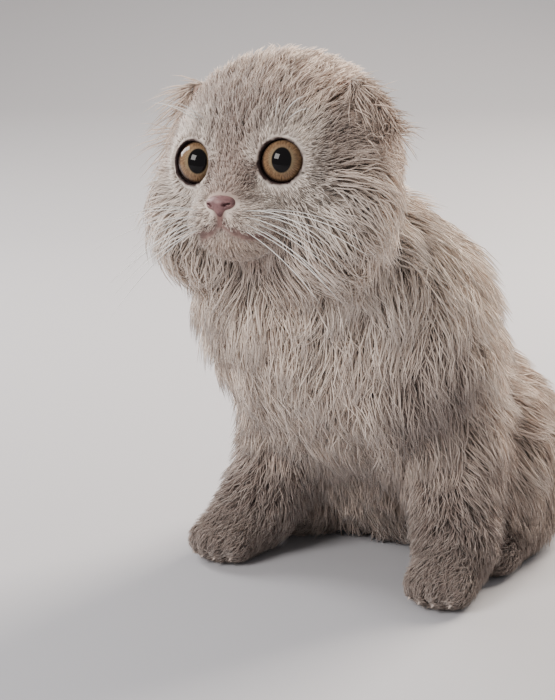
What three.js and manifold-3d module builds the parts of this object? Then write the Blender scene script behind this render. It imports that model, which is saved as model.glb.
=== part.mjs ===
// A longhaired fold-eared kitten, sitting up with its forepaws planted wide and its head turned a little to its left.
// Millimetres, +Z up. The kitten faces -Y, its own left is +X, and it sits on the floor at z = 0.
// The body is one smooth field of ellipsoids and tapered limbs, each with its coat's depth, parted by thin cuts.
// The long coat is flat, tapered locks that follow the lie of the hair and are fused to the node that they grow from.
import * as THREE from "three";
import { mergeVertices } from "three/addons/utils/BufferGeometryUtils.js";
import Module from "manifold-3d";

const wasm = await Module();
wasm.setup();

// Driving dimensions
const GAP = 0.3;
const HEAD_AT = [-7.5, -67, 155];
const HEAD_TURN = { yaw: 9, pitch: -6, roll: -5 };
const EYE = { out: 15.3, forward: -22.8, up: 2, radius: 7.8, aim: 14 };
const NOSE = { forward: -40.4, up: -9.2, half: [5.2, 3.4, 3.6] };
const FORE_PAW = [46, -36];
const HIND_PAW = [43, 4];
const BODY_CELL = 8.8;
const LONG_COAT = 8;
const CORE_SHARE = 0.45;

const v3 = (p) => new THREE.Vector3(p[0], p[1], p[2]);
const radians = THREE.MathUtils.degToRad;

// The head's own frame: y is back, x is the kitten's left, z is up
const headFrame = new THREE.Matrix4()
  .makeRotationZ(radians(HEAD_TURN.yaw))
  .multiply(new THREE.Matrix4().makeRotationX(radians(HEAD_TURN.pitch)))
  .multiply(new THREE.Matrix4().makeRotationY(radians(HEAD_TURN.roll)))
  .setPosition(...HEAD_AT);
const headInverse = headFrame.clone().invert();
const onHead = (x, y, z) => new THREE.Vector3(x, y, z).applyMatrix4(headFrame);

// Flesh: each row is a shape, its coat's depth and the way its hair lies
const ball = (at, half, coat, lie) => ({ at, half, coat, lie });
const limb = (from, to, r0, r1, coat, lie) => ({ from, to, r0, r1, coat, lie });
const both = (make) => [1, -1].map(make);
const DOWN = [0, -0.1, -1];

// In the head's frame
const headFlesh = [
  ball([0, 8, 4], [32, 32, 29], 8, [0, 1, -0.2]),
  ball([0, -9, 2], [27, 23, 24], 4.5, [0, 1, 0.6]),
  ...both((s) => ball([s * 19, -5, -11], [15, 16, 14], 12, [s * 0.7, 0.7, -0.45])),
  ...both((s) => ball([s * 6.3, -33, -16], [7, 7, 6], 2.2, [s, 0.6, -0.4])),
  ball([0, -28, -13], [12, 10, 9], 2.2, [0, 0.5, -1]),
  limb([0, -25, 6], [0, -36, -8], 6, 4.5, 1.5, [0, 0.6, 1]),
  ball([0, -29, -23], [8, 7, 5.5], 4, [0, 0.5, -1]),
];
// In the body's frame
const bodyFlesh = [
  limb([-6, -54, 136], [-2, -38, 112], 23, 26, 15, DOWN),
  ball([0, -26, 98], [33, 33, 34], 19, DOWN),
  ball([0, 0, 78], [31, 36, 35], 12, [0, 0.6, -0.8]),
  ball([0, 30, 41], [34, 36, 36], 12, [0, 0.45, -0.9]),
  ...both((s) => ball([s * 24, -18, 88], [15, 20, 26], 13, [s * 0.2, 0.3, -1])),
  ...both((s) => limb([s * 28, -16, 78], [s * 34, -10, 48], 13, 10, 10, [s * 0.3, 0.5, -1])),
  ...both((s) => limb([s * 34, -10, 48], [s * 42, -22, 18], 9.5, 8, 8, [s * 0.2, 0.35, -1])),
  ...both((s) => limb([s * 43, -24, 13], [s * 46, -35, 9], 9, 8.5, 4, [0, -1, -0.3])),
  ...both((s) => ball([s * 31, 28, 32], [18, 31, 27], 10, [s * 0.1, 0.35, -1])),
  ...both((s) => limb([s * 36, 50, 9], [s * 43, 5, 8.5], 7.5, 7.5, 5, [0, -1, -0.2])),
];
const tailLine = [
  [0, 58, 18],
  [-9, 84, 12],
  [-34, 101, 10.5],
  [-62, 98, 10],
  [-84, 80, 9.5],
];
const tailFlesh = tailLine.slice(1).map((to, i) => {
  const from = tailLine[i];
  return limb(from, to, 7.5 - i, 6.5 - i, 11, v3(to).sub(v3(from)).toArray());
});

function distance(row, p) {
  if (row.half) {
    const [a, b, c] = row.half;
    const x = p.x - row.at[0];
    const y = p.y - row.at[1];
    const z = p.z - row.at[2];
    const near = Math.hypot(x / a, y / b, z / c);
    const slope = Math.hypot(x / a ** 2, y / b ** 2, z / c ** 2) + 1e-9;
    return (near * (near - 1)) / slope;
  }
  const from = v3(row.from);
  const along = v3(row.to).sub(from);
  const t = THREE.MathUtils.clamp(p.clone().sub(from).dot(along) / along.lengthSq(), 0, 1);
  return p.distanceTo(from.addScaledVector(along, t)) - THREE.MathUtils.lerp(row.r0, row.r1, t);
}

// Smooth union of parts { d, coat, lie }, where each counts by how near it is
function blend(parts, softness) {
  const least = Math.min(...parts.map((q) => q.d));
  const lie = new THREE.Vector3();
  let total = 0;
  let coat = 0;
  for (const q of parts) {
    const share = Math.exp((least - q.d) / softness);
    total += share;
    coat += share * q.coat;
    lie.addScaledVector(q.lie, share);
  }
  return { d: least - softness * Math.log(total), coat: coat / total, lie };
}
const unitLie = (row) => v3(row.lie).normalize();
const measure = (rows, p) => rows.map((row) => ({ d: distance(row, p), coat: row.coat, lie: unitLie(row) }));

// The skin's distance, the coat's depth and the lie of the hair at a point
function flesh(p) {
  const head = blend(measure(headFlesh, p.clone().applyMatrix4(headInverse)), 2.5);
  head.lie.transformDirection(headFrame);
  const body = blend(measure([...bodyFlesh, ...tailFlesh], p), 5);
  return blend([head, body], 5);
}
// A long coat's solid core reaches part of the way to the tips, and short fur is solid all the way
function coreDepth(coat) {
  const long = THREE.MathUtils.smoothstep(coat, LONG_COAT - 2, LONG_COAT + 2);
  return coat * THREE.MathUtils.lerp(1, CORE_SHARE, long);
}
function solidField(p) {
  const f = flesh(p);
  return f.d - coreDepth(f.coat);
}
function slopeAt(p, field) {
  const step = 0.5;
  const g = new THREE.Vector3();
  for (const axis of ["x", "y", "z"]) {
    const a = p.clone();
    const b = p.clone();
    a[axis] += step;
    b[axis] -= step;
    g[axis] = field(a) - field(b);
  }
  return g.normalize();
}

// Grid lines from stretches [end, step] that start at a first value
function gridLines(first, ...stretches) {
  const lines = [first];
  for (const [end, step] of stretches) {
    const start = lines[lines.length - 1];
    const n = Math.round((end - start) / step);
    for (let i = 1; i <= n; i++) lines.push(start + ((end - start) * i) / n);
  }
  return lines;
}

// A closed quad surface where a field crosses zero: one vertex in each crossed cell, one quad round each crossed edge
function surface(field, xs, ys, zs) {
  const [nx, ny, nz] = [xs.length, ys.length, zs.length];
  const id = (i, j, k) => (k * ny + j) * nx + i;
  const value = new Float64Array(nx * ny * nz);
  const rim = (i, n) => i === 0 || i === n - 1;
  for (let k = 0; k < nz; k++)
    for (let j = 0; j < ny; j++)
      for (let i = 0; i < nx; i++) {
        const edge = rim(i, nx) || rim(j, ny) || rim(k, nz);
        const d = field(new THREE.Vector3(xs[i], ys[j], zs[k]));
        value[id(i, j, k)] = edge ? Math.max(d, 1) : d;
      }
  const points = [];
  const cell = new Map();
  const corners = [0, 1, 2, 3, 4, 5, 6, 7].map((c) => [c & 1, (c >> 1) & 1, (c >> 2) & 1]);
  const edges = [];
  for (let a = 0; a < 8; a++) for (const bit of [1, 2, 4]) if (!(a & bit)) edges.push([a, a | bit]);
  for (let k = 0; k < nz - 1; k++)
    for (let j = 0; j < ny - 1; j++)
      for (let i = 0; i < nx - 1; i++) {
        const v = corners.map(([a, b, c]) => value[id(i + a, j + b, k + c)]);
        if (v.every((x) => x < 0) || v.every((x) => x >= 0)) continue;
        const sum = [0, 0, 0];
        let n = 0;
        for (const [a, b] of edges) {
          if (v[a] < 0 === v[b] < 0) continue;
          const t = v[a] / (v[a] - v[b]);
          [xs, ys, zs].forEach((line, axis) => {
            const at = [i, j, k][axis];
            sum[axis] += THREE.MathUtils.lerp(line[at + corners[a][axis]], line[at + corners[b][axis]], t);
          });
          n++;
        }
        cell.set(id(i, j, k), points.length / 3);
        points.push(sum[0] / n, sum[1] / n, sum[2] / n);
      }
  const faces = [];
  const steps = [1, nx, nx * ny];
  for (let k = 0; k < nz - 1; k++)
    for (let j = 0; j < ny - 1; j++)
      for (let i = 0; i < nx - 1; i++)
        for (let axis = 0; axis < 3; axis++) {
          const at = id(i, j, k);
          const inside = value[at] < 0;
          if (inside === value[at + steps[axis]] < 0) continue;
          const [u, w] = [steps[(axis + 1) % 3], steps[(axis + 2) % 3]];
          const ring = [at - u - w, at - w, at, at - u].map((c) => cell.get(c));
          const [a, b, c, d] = inside ? ring : ring.reverse();
          faces.push(a, b, c, a, c, d);
        }
  return { points, faces };
}

// A three.js geometry, or points and faces, as a solid
function solid(shape, matrix) {
  let geometry = shape;
  if (shape.points) {
    geometry = new THREE.BufferGeometry().setAttribute("position", new THREE.Float32BufferAttribute(shape.points, 3));
    geometry.setIndex(shape.faces);
  }
  geometry = geometry.clone();
  geometry.deleteAttribute("normal");
  geometry.deleteAttribute("uv");
  if (matrix) geometry.applyMatrix4(matrix);
  geometry = mergeVertices(geometry, 1e-4);
  return new wasm.Manifold(
    new wasm.Mesh({
      numProp: 3,
      vertProperties: geometry.attributes.position.array,
      triVerts: new Uint32Array(geometry.index.array),
    }),
  );
}
// The largest closed surface of a piece
const largest = (s) => s.decompose().reduce((a, b) => (b.volume() > a.volume() ? b : a));
// The same with slivers smoothed away and points set on a 0.001 mm grid, if every edge still has just two faces
function settled(piece) {
  for (const ease of [0.1, 0.07, 0.04, 0.02, 0.14]) {
    const mesh = largest(piece.simplify(ease)).getMesh();
    let geometry = new THREE.BufferGeometry();
    const points = mesh.vertProperties.map((x) => Math.round(x * 1000) / 1000);
    geometry.setAttribute("position", new THREE.BufferAttribute(points, 3));
    geometry.setIndex(new THREE.BufferAttribute(mesh.triVerts, 1));
    geometry = mergeVertices(geometry, 1e-3);
    const corners = [];
    for (let [i, all] = [0, geometry.index.array]; i < all.length; i += 3) {
      const face = [all[i], all[i + 1], all[i + 2]];
      if (new Set(face).size === 3) corners.push(...face);
    }
    geometry.setIndex(corners);
    const shared = new Map();
    for (let i = 0; i < corners.length; i++) {
      const next = i % 3 === 2 ? i - 2 : i + 1;
      const key = [corners[i], corners[next]].sort((a, b) => a - b).join();
      shared.set(key, (shared.get(key) ?? 0) + 1);
    }
    if ([...shared.values()].every((n) => n === 2)) return largest(solid(geometry));
  }
  return null;
}
const block = (low, high, grow = 0) => {
  const size = low.map((x, i) => high[i] - x + 2 * grow);
  const at = low.map((x, i) => (x + high[i]) / 2);
  return solid(new THREE.BoxGeometry(...size), new THREE.Matrix4().setPosition(...at));
};
const ellipsoid = (at, half, around = 14, rings = 10) =>
  solid(
    new THREE.SphereGeometry(1, around, rings),
    new THREE.Matrix4().makeTranslation(at.x, at.y, at.z).scale(v3(half)),
  );

// Eyes: round balls that look a little outwards
function eyeAt(side) {
  return onHead(side * EYE.out, EYE.forward, EYE.up);
}
function eyeAim(side) {
  const a = radians(EYE.aim) * side;
  return new THREE.Vector3(Math.sin(a), -Math.cos(a), 0.04).transformDirection(headFrame);
}
function along(at, aim, offset = 0) {
  const turn = new THREE.Quaternion().setFromUnitVectors(new THREE.Vector3(0, 0, 1), aim);
  return new THREE.Matrix4().compose(at.clone().addScaledVector(aim, offset), turn, v3([1, 1, 1]));
}
function eyeball(side, grow = 0) {
  return solid(new THREE.SphereGeometry(EYE.radius + grow, 18, 9), along(eyeAt(side), eyeAim(side)));
}
function lidRing(side) {
  return solid(new THREE.TorusGeometry(7.7, 1.3, 5, 16), along(eyeAt(side), eyeAim(side), 3.2));
}
function eyeOpening(side) {
  const cone = new THREE.CylinderGeometry(9.6, 7, 10, 16).rotateX(Math.PI / 2);
  return solid(cone, along(eyeAt(side), eyeAim(side), 3.4 + 5));
}

// A closed, tapered strip along a line of points: flat beneath, with a ridge along its outer side
function strip(line, outward, half, thick, grow = 0) {
  const points = [];
  const faces = [];
  const last = line.length - 1;
  line.forEach((p, i) => {
    const ahead = line[Math.min(i + 1, last)].clone().sub(line[Math.max(i - 1, 0)]).normalize();
    const side = new THREE.Vector3().crossVectors(ahead, outward[i]).normalize();
    const up = new THREE.Vector3().crossVectors(side, ahead);
    if (i === last) {
      points.push(...p.clone().addScaledVector(ahead, grow).toArray());
      return;
    }
    const w = half[i] + grow;
    const h = thick[i] + grow;
    for (const [a, b] of [[-w, -0.35 * h], [w, -0.35 * h], [0, 0.65 * h]])
      points.push(...p.clone().addScaledVector(side, a).addScaledVector(up, b).toArray());
  });
  const ring = (i, s) => 3 * i + (s % 3);
  faces.push(0, 2, 1);
  for (let i = 0; i < last; i++)
    for (let s = 0; s < 3; s++) {
      if (i === last - 1) {
        faces.push(ring(i, s), ring(i, s + 1), 3 * last);
        continue;
      }
      faces.push(ring(i, s), ring(i, s + 1), ring(i + 1, s + 1));
      faces.push(ring(i, s), ring(i + 1, s + 1), ring(i + 1, s));
    }
  const made = solid({ points, faces });
  return made.volume() < 0 ? solid({ points, faces: faces.reverse() }) : made;
}

// Cuts that part the body, each taken before the ones below it
const neckWay = new THREE.Vector3(-0.1, -0.45, 0.89).normalize();
function slab(at, from, to, grow) {
  const size = 160;
  const thick = to - from + 2 * grow;
  const plate = new THREE.BoxGeometry(size, size, thick).translate(0, 0, (from + to) / 2);
  return solid(plate, along(v3(at), neckWay));
}
const sided = (s, low, high) => (grow) => {
  const xs = [s * low[0], s * high[0]].sort((a, b) => a - b);
  return block([xs[0], low[1], low[2]], [xs[1], high[1], high[2]], grow);
};
const NECK_TOP = [-4, -48, 131];
const regions = {
  head: (grow) => slab(NECK_TOP, 0, 90, grow),
  neck: (grow) => slab(NECK_TOP, -19, 0, grow),
  ...Object.fromEntries(
    [["left", 1], ["right", -1]].flatMap(([name, s]) => [
      ["forepaw_" + name, sided(s, [20, -80, -5], [90, -10, 19])],
      ["hindpaw_" + name, sided(s, [25, -10, -5], [90, 13, 19])],
      ["foreleg_" + name, sided(s, [17, -80, 19], [90, 0, 68])],
      ["hindleg_" + name, sided(s, [17, 0, -5], [90, 76, 62])],
    ]),
  ),
  tail_tip: (grow) => block([-130, 60, -5], [-38, 150, 40], grow),
  tail_base: (grow) => block([-38, 74, -5], [30, 150, 34], grow),
  chest: (grow) => block([-90, -140, 48], [90, -6, 200], grow),
  torso: (grow) => block([-90, -6, -5], [90, 30, 200], grow).add(block([-90, -60, -5], [90, 0, 48], grow)),
  rump: (grow) => block([-90, 30, -5], [90, 120, 200], grow),
};

function headSolid() {
  const xs = gridLines(-52, [-24, 7], [24, 3.7], [52, 7]);
  const ys = gridLines(-52, [-20, 3.2], [52, 7.2]);
  const zs = gridLines(-46, [-30, 5.4], [12, 3.5], [54, 7]);
  const made = surface((p) => solidField(p.clone().applyMatrix4(headFrame)), xs, ys, zs);
  return solid(made, headFrame);
}
function bodyField(grow = 0) {
  const xs = gridLines(-110, [90, BODY_CELL]);
  const ys = gridLines(-125, [125, BODY_CELL]);
  const zs = gridLines(-13, [170, BODY_CELL]);
  return surface((p) => solidField(p) - grow, xs, ys, zs);
}

const nodes = {};
const whole = { head: headSolid(), body: solid(bodyField()) };
const floor = block([-200, -200, -60], [200, 200, 0]);
function parted(stock, name) {
  const order = Object.keys(regions);
  let piece = stock.intersect(regions[name](-GAP / 2));
  for (const other of order.slice(0, order.indexOf(name))) piece = piece.subtract(regions[other](GAP / 2));
  return piece;
}
for (const name of Object.keys(regions)) {
  const stock = name === "head" ? whole.head : whole.body;
  nodes[name] = largest(parted(stock, name).subtract(floor));
}

// Toes: four round ones on each paw, and the forepaws' claws in pockets of their own
const TOES = [-1.5, -0.5, 0.5, 1.5];
const toeAt = (x, y, s, t) => new THREE.Vector3(s * x + t * 5.4, y - 7.5 + 1.3 * t * t, 7);
function claw(tip, grow = 0) {
  const rise = [1.6, 1.7, 1.1, 0];
  const line = rise.map((up, i) => new THREE.Vector3(tip.x, tip.y + 4.5 - 1.5 * i, tip.z + up));
  const outward = line.map(() => new THREE.Vector3(0, 0, 1));
  return strip(line, outward, [0.9, 0.8, 0.6, 0], [1.6, 1.4, 1, 0], grow);
}
for (const [name, s] of [["left", 1], ["right", -1]])
  for (const [paw, [x, y]] of [["forepaw_", FORE_PAW], ["hindpaw_", HIND_PAW]])
    TOES.forEach((t, i) => {
      const at = toeAt(x, y, s, t);
      const toe = ellipsoid(at, [3.9, 6.6, 5.6], 8, 6).subtract(floor);
      nodes[paw + name] = nodes[paw + name].add(toe);
      if (paw !== "forepaw_") return;
      const tip = new THREE.Vector3(at.x, at.y - 7.6, 3);
      nodes[paw + name] = nodes[paw + name].subtract(claw(tip, GAP));
      nodes["claw_" + name + "_" + (i + 1)] = claw(tip);
    });

// Face: lids, sockets, nose leather with nostrils, and the line of the mouth
const noseAt = onHead(0, NOSE.forward, NOSE.up);
const noseLeather = (grow) => ellipsoid(noseAt, NOSE.half.map((h) => h + grow), 14, 8);
for (const s of [1, -1]) {
  nodes.head = nodes.head.subtract(eyeOpening(s)).add(lidRing(s)).subtract(eyeball(s, GAP));
  nodes[s > 0 ? "eye_left" : "eye_right"] = eyeball(s);
}
nodes.head = nodes.head.subtract(noseLeather(GAP));
nodes.nose = noseLeather(0);
for (const s of [1, -1])
  nodes.nose = nodes.nose.subtract(ellipsoid(onHead(s * 2.9, NOSE.forward - 3, NOSE.up - 0.7), [1.3, 2.2, 1.1], 8, 4));
const mouthLine = [[0, -42.5, -13.5], [0, -42.3, -16.5], [2.5, -42, -18.8], [6.5, -40, -20], [10.5, -36.5, -20.5], [13, -33, -19.5]];
for (const s of [1, -1]) {
  const line = mouthLine.map(([x, y, z]) => onHead(s * x, y, z));
  const outward = line.map(() => new THREE.Vector3(0, -1, 0).transformDirection(headFrame));
  nodes.head = nodes.head.subtract(strip(line, outward, [0.5, 0.6, 0.7, 0.8, 0.8, 0], [3, 3.5, 3.5, 3.5, 3, 0]));
}

// Ears: small triangular flaps that rise from the side of the crown and fold forward and down over their cup
const EAR = { at: [27, 9, 22.5], out: [0.8, 0.12, 0.58], wide: 14, long: 27, thick: 1.9 };
function ear(side, grow = 0) {
  const out = v3(EAR.out).multiply(v3([side, 1, 1])).normalize();
  const fold = new THREE.Vector3(side * 0.25, -0.85, -0.35);
  fold.addScaledVector(out, -fold.dot(out)).normalize();
  const across = new THREE.Vector3().crossVectors(out, fold).multiplyScalar(side);
  const at = v3(EAR.at).multiply(v3([side, 1, 1]));
  const rows = 7;
  const columns = 6;
  const points = [];
  const spine = at.clone().addScaledVector(out, -1 - grow);
  const sheet = [];
  for (let r = 0; r <= rows; r++) {
    const t = r / rows;
    const turn = radians(-18 + 168 * THREE.MathUtils.smoothstep(t, 0.1, 0.8));
    const way = out.clone().multiplyScalar(Math.cos(turn)).addScaledVector(fold, Math.sin(turn));
    const face = new THREE.Vector3().crossVectors(way, across).normalize();
    const half = (EAR.wide + grow) * (1 - 0.86 * t ** 1.5);
    for (let c = 0; c <= columns; c++) {
      const u = (2 * c) / columns - 1;
      const cup = -4.2 * u * u * (1 - 0.6 * t);
      sheet.push({ p: spine.clone().addScaledVector(across, u * half).addScaledVector(fold, -cup * 0.9).addScaledVector(out, cup * 0.5), face });
    }
    spine.addScaledVector(way, (EAR.long + grow) / rows);
  }
  for (const sign of [1, -1])
    for (const { p, face } of sheet)
      points.push(...p.clone().addScaledVector(face, sign * (EAR.thick / 2 + grow)).toArray());
  const faces = [];
  const at2 = (r, c) => r * (columns + 1) + c;
  const back = sheet.length;
  const quad = (a, b, c, d) => faces.push(a, b, c, a, c, d);
  for (let r = 0; r < rows; r++)
    for (let c = 0; c < columns; c++) {
      const [a, b, d, e] = [at2(r, c), at2(r, c + 1), at2(r + 1, c + 1), at2(r + 1, c)];
      faces.push(a, b, d, a, d, e);
      faces.push(back + a, back + d, back + b, back + a, back + e, back + d);
    }
  for (let r = 0; r < rows; r++)
    for (const [c, flip] of [[0, false], [columns, true]]) {
      const [a, b] = flip ? [at2(r + 1, c), at2(r, c)] : [at2(r, c), at2(r + 1, c)];
      quad(a, b, back + b, back + a);
    }
  for (let c = 0; c < columns; c++)
    for (const [r, flip] of [[0, true], [rows, false]]) {
      const [a, b] = flip ? [at2(r, c + 1), at2(r, c)] : [at2(r, c), at2(r, c + 1)];
      quad(a, b, back + b, back + a);
    }
  const made = solid({ points, faces }, headFrame);
  return made.volume() < 0 ? solid({ points, faces: faces.reverse() }, headFrame) : made;
}
for (const s of [1, -1]) {
  nodes.head = nodes.head.subtract(ear(s, GAP));
  nodes[s > 0 ? "ear_left" : "ear_right"] = ear(s);
}
nodes.head = largest(nodes.head);
for (const name of Object.keys(nodes)) nodes[name] = settled(nodes[name]);

// Locks: rows of flat, tapered hair that lie along the coat, sized by its depth
const LOCK = {
  rings: [0, 0.3, 0.66, 1],
  width: [0.75, 1, 0.75, 0],
  length: (coat) => 22 + 1.5 * coat,
  half: (coat) => 4.6 + 0.32 * coat,
  sunk: 3.5,
  flatness: 0.45,
  fall: 0.35,
  spacing: { head: 0.42, neck: 0.38, chest: 0.45 },
};
let seed = 7;
function random() {
  seed = (seed * 1664525 + 1013904223) % 4294967296;
  return seed / 4294967296;
}
const vary = (low, high) => THREE.MathUtils.lerp(low, high, random());
function lock(root, { length, half, lift, sway }, grow = 0) {
  const line = [];
  const outward = [];
  const p = root.clone();
  let reached = 0;
  for (const t of LOCK.rings) {
    const f = flesh(p);
    const n = slopeAt(p, (q) => flesh(q).d);
    const way = f.lie.clone().normalize();
    way.z -= LOCK.fall * t;
    way.addScaledVector(n, -way.dot(n)).normalize();
    way.applyAxisAngle(n, sway * (1 - 2 * t));
    p.addScaledVector(way, (t - reached) * length);
    reached = t;
    const here = flesh(p);
    const sunk = coreDepth(here.coat) - LOCK.sunk;
    p.addScaledVector(n, THREE.MathUtils.lerp(sunk, here.coat + lift, t ** 0.75) - here.d);
    p.z = Math.max(p.z, 0.8 + LOCK.flatness * half * (1 - t));
    line.push(p.clone());
    outward.push(n);
  }
  const wide = LOCK.width.map((w) => w * half);
  const thick = wide.map((w) => Math.max(LOCK.flatness * w, 0.7));
  return strip(line, outward, wide, thick, grow);
}

// Roots are spread over each node's long coat, with none closer to another than a share of the lock's length
const boxesMeet = (a, b) => [0, 1, 2].every((i) => a.min[i] < b.max[i] && b.min[i] < a.max[i]);
function rootsOn(piece, spacing, tries) {
  const { vertProperties: xyz, triVerts } = piece.getMesh();
  const corner = (i) => new THREE.Vector3(xyz[3 * i], xyz[3 * i + 1], xyz[3 * i + 2]);
  const triangles = [];
  let area = 0;
  for (let i = 0; i < triVerts.length; i += 3) {
    const t = new THREE.Triangle(corner(triVerts[i]), corner(triVerts[i + 1]), corner(triVerts[i + 2]));
    area += t.getArea();
    triangles.push({ t, upTo: area });
  }
  const found = [];
  for (let i = 0; i < tries; i++) {
    const pick = random() * area;
    const { t } = triangles.find(({ upTo }) => upTo >= pick);
    const [u, v] = [Math.sqrt(random()), random()];
    const p = t.a.clone().multiplyScalar(1 - u).addScaledVector(t.b, u * (1 - v)).addScaledVector(t.c, u * v);
    const f = flesh(p);
    const offCore = Math.abs(f.d - coreDepth(f.coat));
    if (f.coat < LONG_COAT + 1 || offCore > 2.5 || slopeAt(p, solidField).z < -0.6) continue;
    const gap = spacing * LOCK.length(f.coat);
    if (found.every((q) => q.p.distanceTo(p) > gap)) found.push({ p, coat: f.coat });
  }
  return found;
}
const around = solid(bodyField(GAP + 0.15));
const carriers = ["tail_tip", "tail_base", "hindleg_left", "hindleg_right", "foreleg_left", "foreleg_right"];
carriers.push("rump", "torso", "chest", "neck", "head");
for (const name of carriers) {
  const core = nodes[name];
  const foreign = around.subtract(parted(around, name));
  const others = Object.entries(nodes).filter(([other]) => other !== name);
  const made = [core];
  for (const { p, coat } of rootsOn(core, LOCK.spacing[name] ?? 0.58, 4000)) {
    const shape = {
      length: LOCK.length(coat) * vary(0.85, 1.15),
      half: LOCK.half(coat) * vary(0.85, 1.15),
      lift: vary(-1.5, 1.5),
      sway: vary(-0.4, 0.4),
    };
    for (const more of [0, 2.5, 5]) {
      const tried = { ...shape, lift: shape.lift + more };
      const wide = lock(p, tried, GAP);
      const box = wide.boundingBox();
      const meets = others.some(([, o]) => boxesMeet(box, o.boundingBox()) && o.intersect(wide.subtract(foreign)).volume() > 0.001);
      if (meets) continue;
      made.push(lock(p, tried).subtract(foreign));
      break;
    }
  }
  nodes[name] = made.reduce((piece, one) => settled(piece.add(one.subtract(floor))) ?? piece);
}

// The origin is the middle of the base
const bounds = new THREE.Box3();
for (const piece of Object.values(nodes)) {
  const { min, max } = piece.boundingBox();
  bounds.expandByPoint(v3(min)).expandByPoint(v3(max));
}
const middle = bounds.getCenter(new THREE.Vector3()).setZ(0).multiplyScalar(10).round().divideScalar(10);

const kitten = new THREE.Group();
for (const [name, piece] of Object.entries(nodes)) {
  const mesh = piece.getMesh();
  const geometry = new THREE.BufferGeometry();
  geometry.setAttribute("position", new THREE.BufferAttribute(mesh.vertProperties, 3));
  geometry.setIndex(new THREE.BufferAttribute(mesh.triVerts, 1));
  geometry.translate(-middle.x, -middle.y, 0);
  kitten.add(new THREE.Mesh(geometry, new THREE.MeshStandardMaterial({ color: 0xb9a598, roughness: 0.9, metalness: 0 })));
  kitten.children[kitten.children.length - 1].name = name;
}
export default kitten;
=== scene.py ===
import math

import bpy
import numpy as np
from mathutils import Matrix
from mathutils.kdtree import KDTree


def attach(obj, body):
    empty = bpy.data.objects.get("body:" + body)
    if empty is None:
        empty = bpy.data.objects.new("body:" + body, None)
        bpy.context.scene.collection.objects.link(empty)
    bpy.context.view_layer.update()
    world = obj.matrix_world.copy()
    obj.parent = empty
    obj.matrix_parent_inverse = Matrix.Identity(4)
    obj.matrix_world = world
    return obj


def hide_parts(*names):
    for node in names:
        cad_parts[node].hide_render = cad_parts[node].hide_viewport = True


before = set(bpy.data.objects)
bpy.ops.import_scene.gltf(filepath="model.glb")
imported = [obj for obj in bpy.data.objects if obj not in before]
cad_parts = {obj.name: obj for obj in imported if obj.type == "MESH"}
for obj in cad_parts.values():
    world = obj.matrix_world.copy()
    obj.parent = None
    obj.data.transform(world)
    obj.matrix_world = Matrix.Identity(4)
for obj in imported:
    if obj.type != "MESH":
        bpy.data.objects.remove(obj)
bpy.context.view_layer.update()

# Skin
# The kitten's own skin, which carries the whole coat: one closed surface with sockets, lids and a mouth
# pressed into it. It is drawn where a smooth field of balls and tapered limbs crosses zero, in millimetres,
# with the kitten facing -Y and its own left towards +X.

HEAD_AT = np.array([-5.4, -65.7, 154.6])
HEAD_YAW, HEAD_PITCH, HEAD_ROLL = (math.radians(a) for a in (5.8, -6, -5))
EYE_OUT, EYE_FORWARD, EYE_UP, EYE_RADIUS, EYE_AIM = 15.5, -24, 3, 7.8, math.radians(9)
NOSE_FORWARD, NOSE_UP = -40.4, -10.3
FORE_PAW, HIND_PAW = (46, -36), (43, 4)


def turn(axis, a):
    """A turn about one axis"""
    c, s = math.cos(a), math.sin(a)
    return np.array({"x": [[1, 0, 0], [0, c, -s], [0, s, c]], "y": [[c, 0, s], [0, 1, 0], [-s, 0, c]],
                     "z": [[c, -s, 0], [s, c, 0], [0, 0, 1]]}[axis])


HEAD_TURN = turn("z", HEAD_YAW) @ turn("x", HEAD_PITCH) @ turn("y", HEAD_ROLL)


def on_head(*p):
    """A point of the head's own frame, whose y is back and z is up"""
    return HEAD_AT + HEAD_TURN @ np.array(p, float)


def head_way(*p):
    """A direction of the head's own frame"""
    v = HEAD_TURN @ np.array(p, float)
    return v / np.linalg.norm(v)


# Colours in linear light: cream, fawn, lilac, a darker lilac, pale cream, and the bare lip and lids. Some
# also serve as painted light and painted shade on the body
CREAM = (0.84, 0.71, 0.615)
FAWN = (0.66, 0.515, 0.43)
LILAC = (0.47, 0.36, 0.315)
SMOKE = (0.23, 0.162, 0.14)
PALE = (0.88, 0.785, 0.71)
LIP, LID_DARK = (0.20, 0.11, 0.10), (0.035, 0.02, 0.02)
DOWN = (0, -0.1, -1)


# A row is a shape, the depth of its coat, the lie of its hair and its colour
def ball(at, half, coat, lie, tone):
    return ("ball", at, half, coat, lie, tone)


def limb(a, b, r0, r1, coat, lie, tone):
    return ("limb", a, b, r0, r1, coat, lie, tone)


def both(make):
    return [make(1), make(-1)]


head_rows = [
    ball((0, 8, 4), (34.5, 32, 30.5), 8, (0, 1, -0.2), FAWN),
    ball((0, -9, 2), (29, 21.5, 24), 3.8, (0, 1, 0.6), LILAC),
    *both(lambda s: ball((s * 21, -5, -10), (16, 16, 14), 12, (s * 0.7, 0.7, -0.45), CREAM)),
    *both(lambda s: ball((s * 6.5, -33, -16.5), (7, 7, 6), 2.2, (s, 0.6, -0.4), CREAM)),
    *both(lambda s: ball((s * 20, -9, -19), (14, 13, 12), 14, (s * 0.5, 0.3, -0.9), CREAM)),
    ball((0, -28, -13), (12, 10, 9), 2.2, (0, 0.5, -1), FAWN),
    *both(lambda s: ball((s * 15.5, -23.6, 3), (9.2, 8.4, 9.2), 1.8, (s * 0.8, 0.6, 0.1), PALE)),
    limb((0, -25, 6), (0, -36, -9), 5, 4.4, 1.5, (0, 0.6, 1), LILAC),
    ball((0, -29, -21.5), (8, 7, 5), 4, (0, 0.5, -1), FAWN),
]
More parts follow.
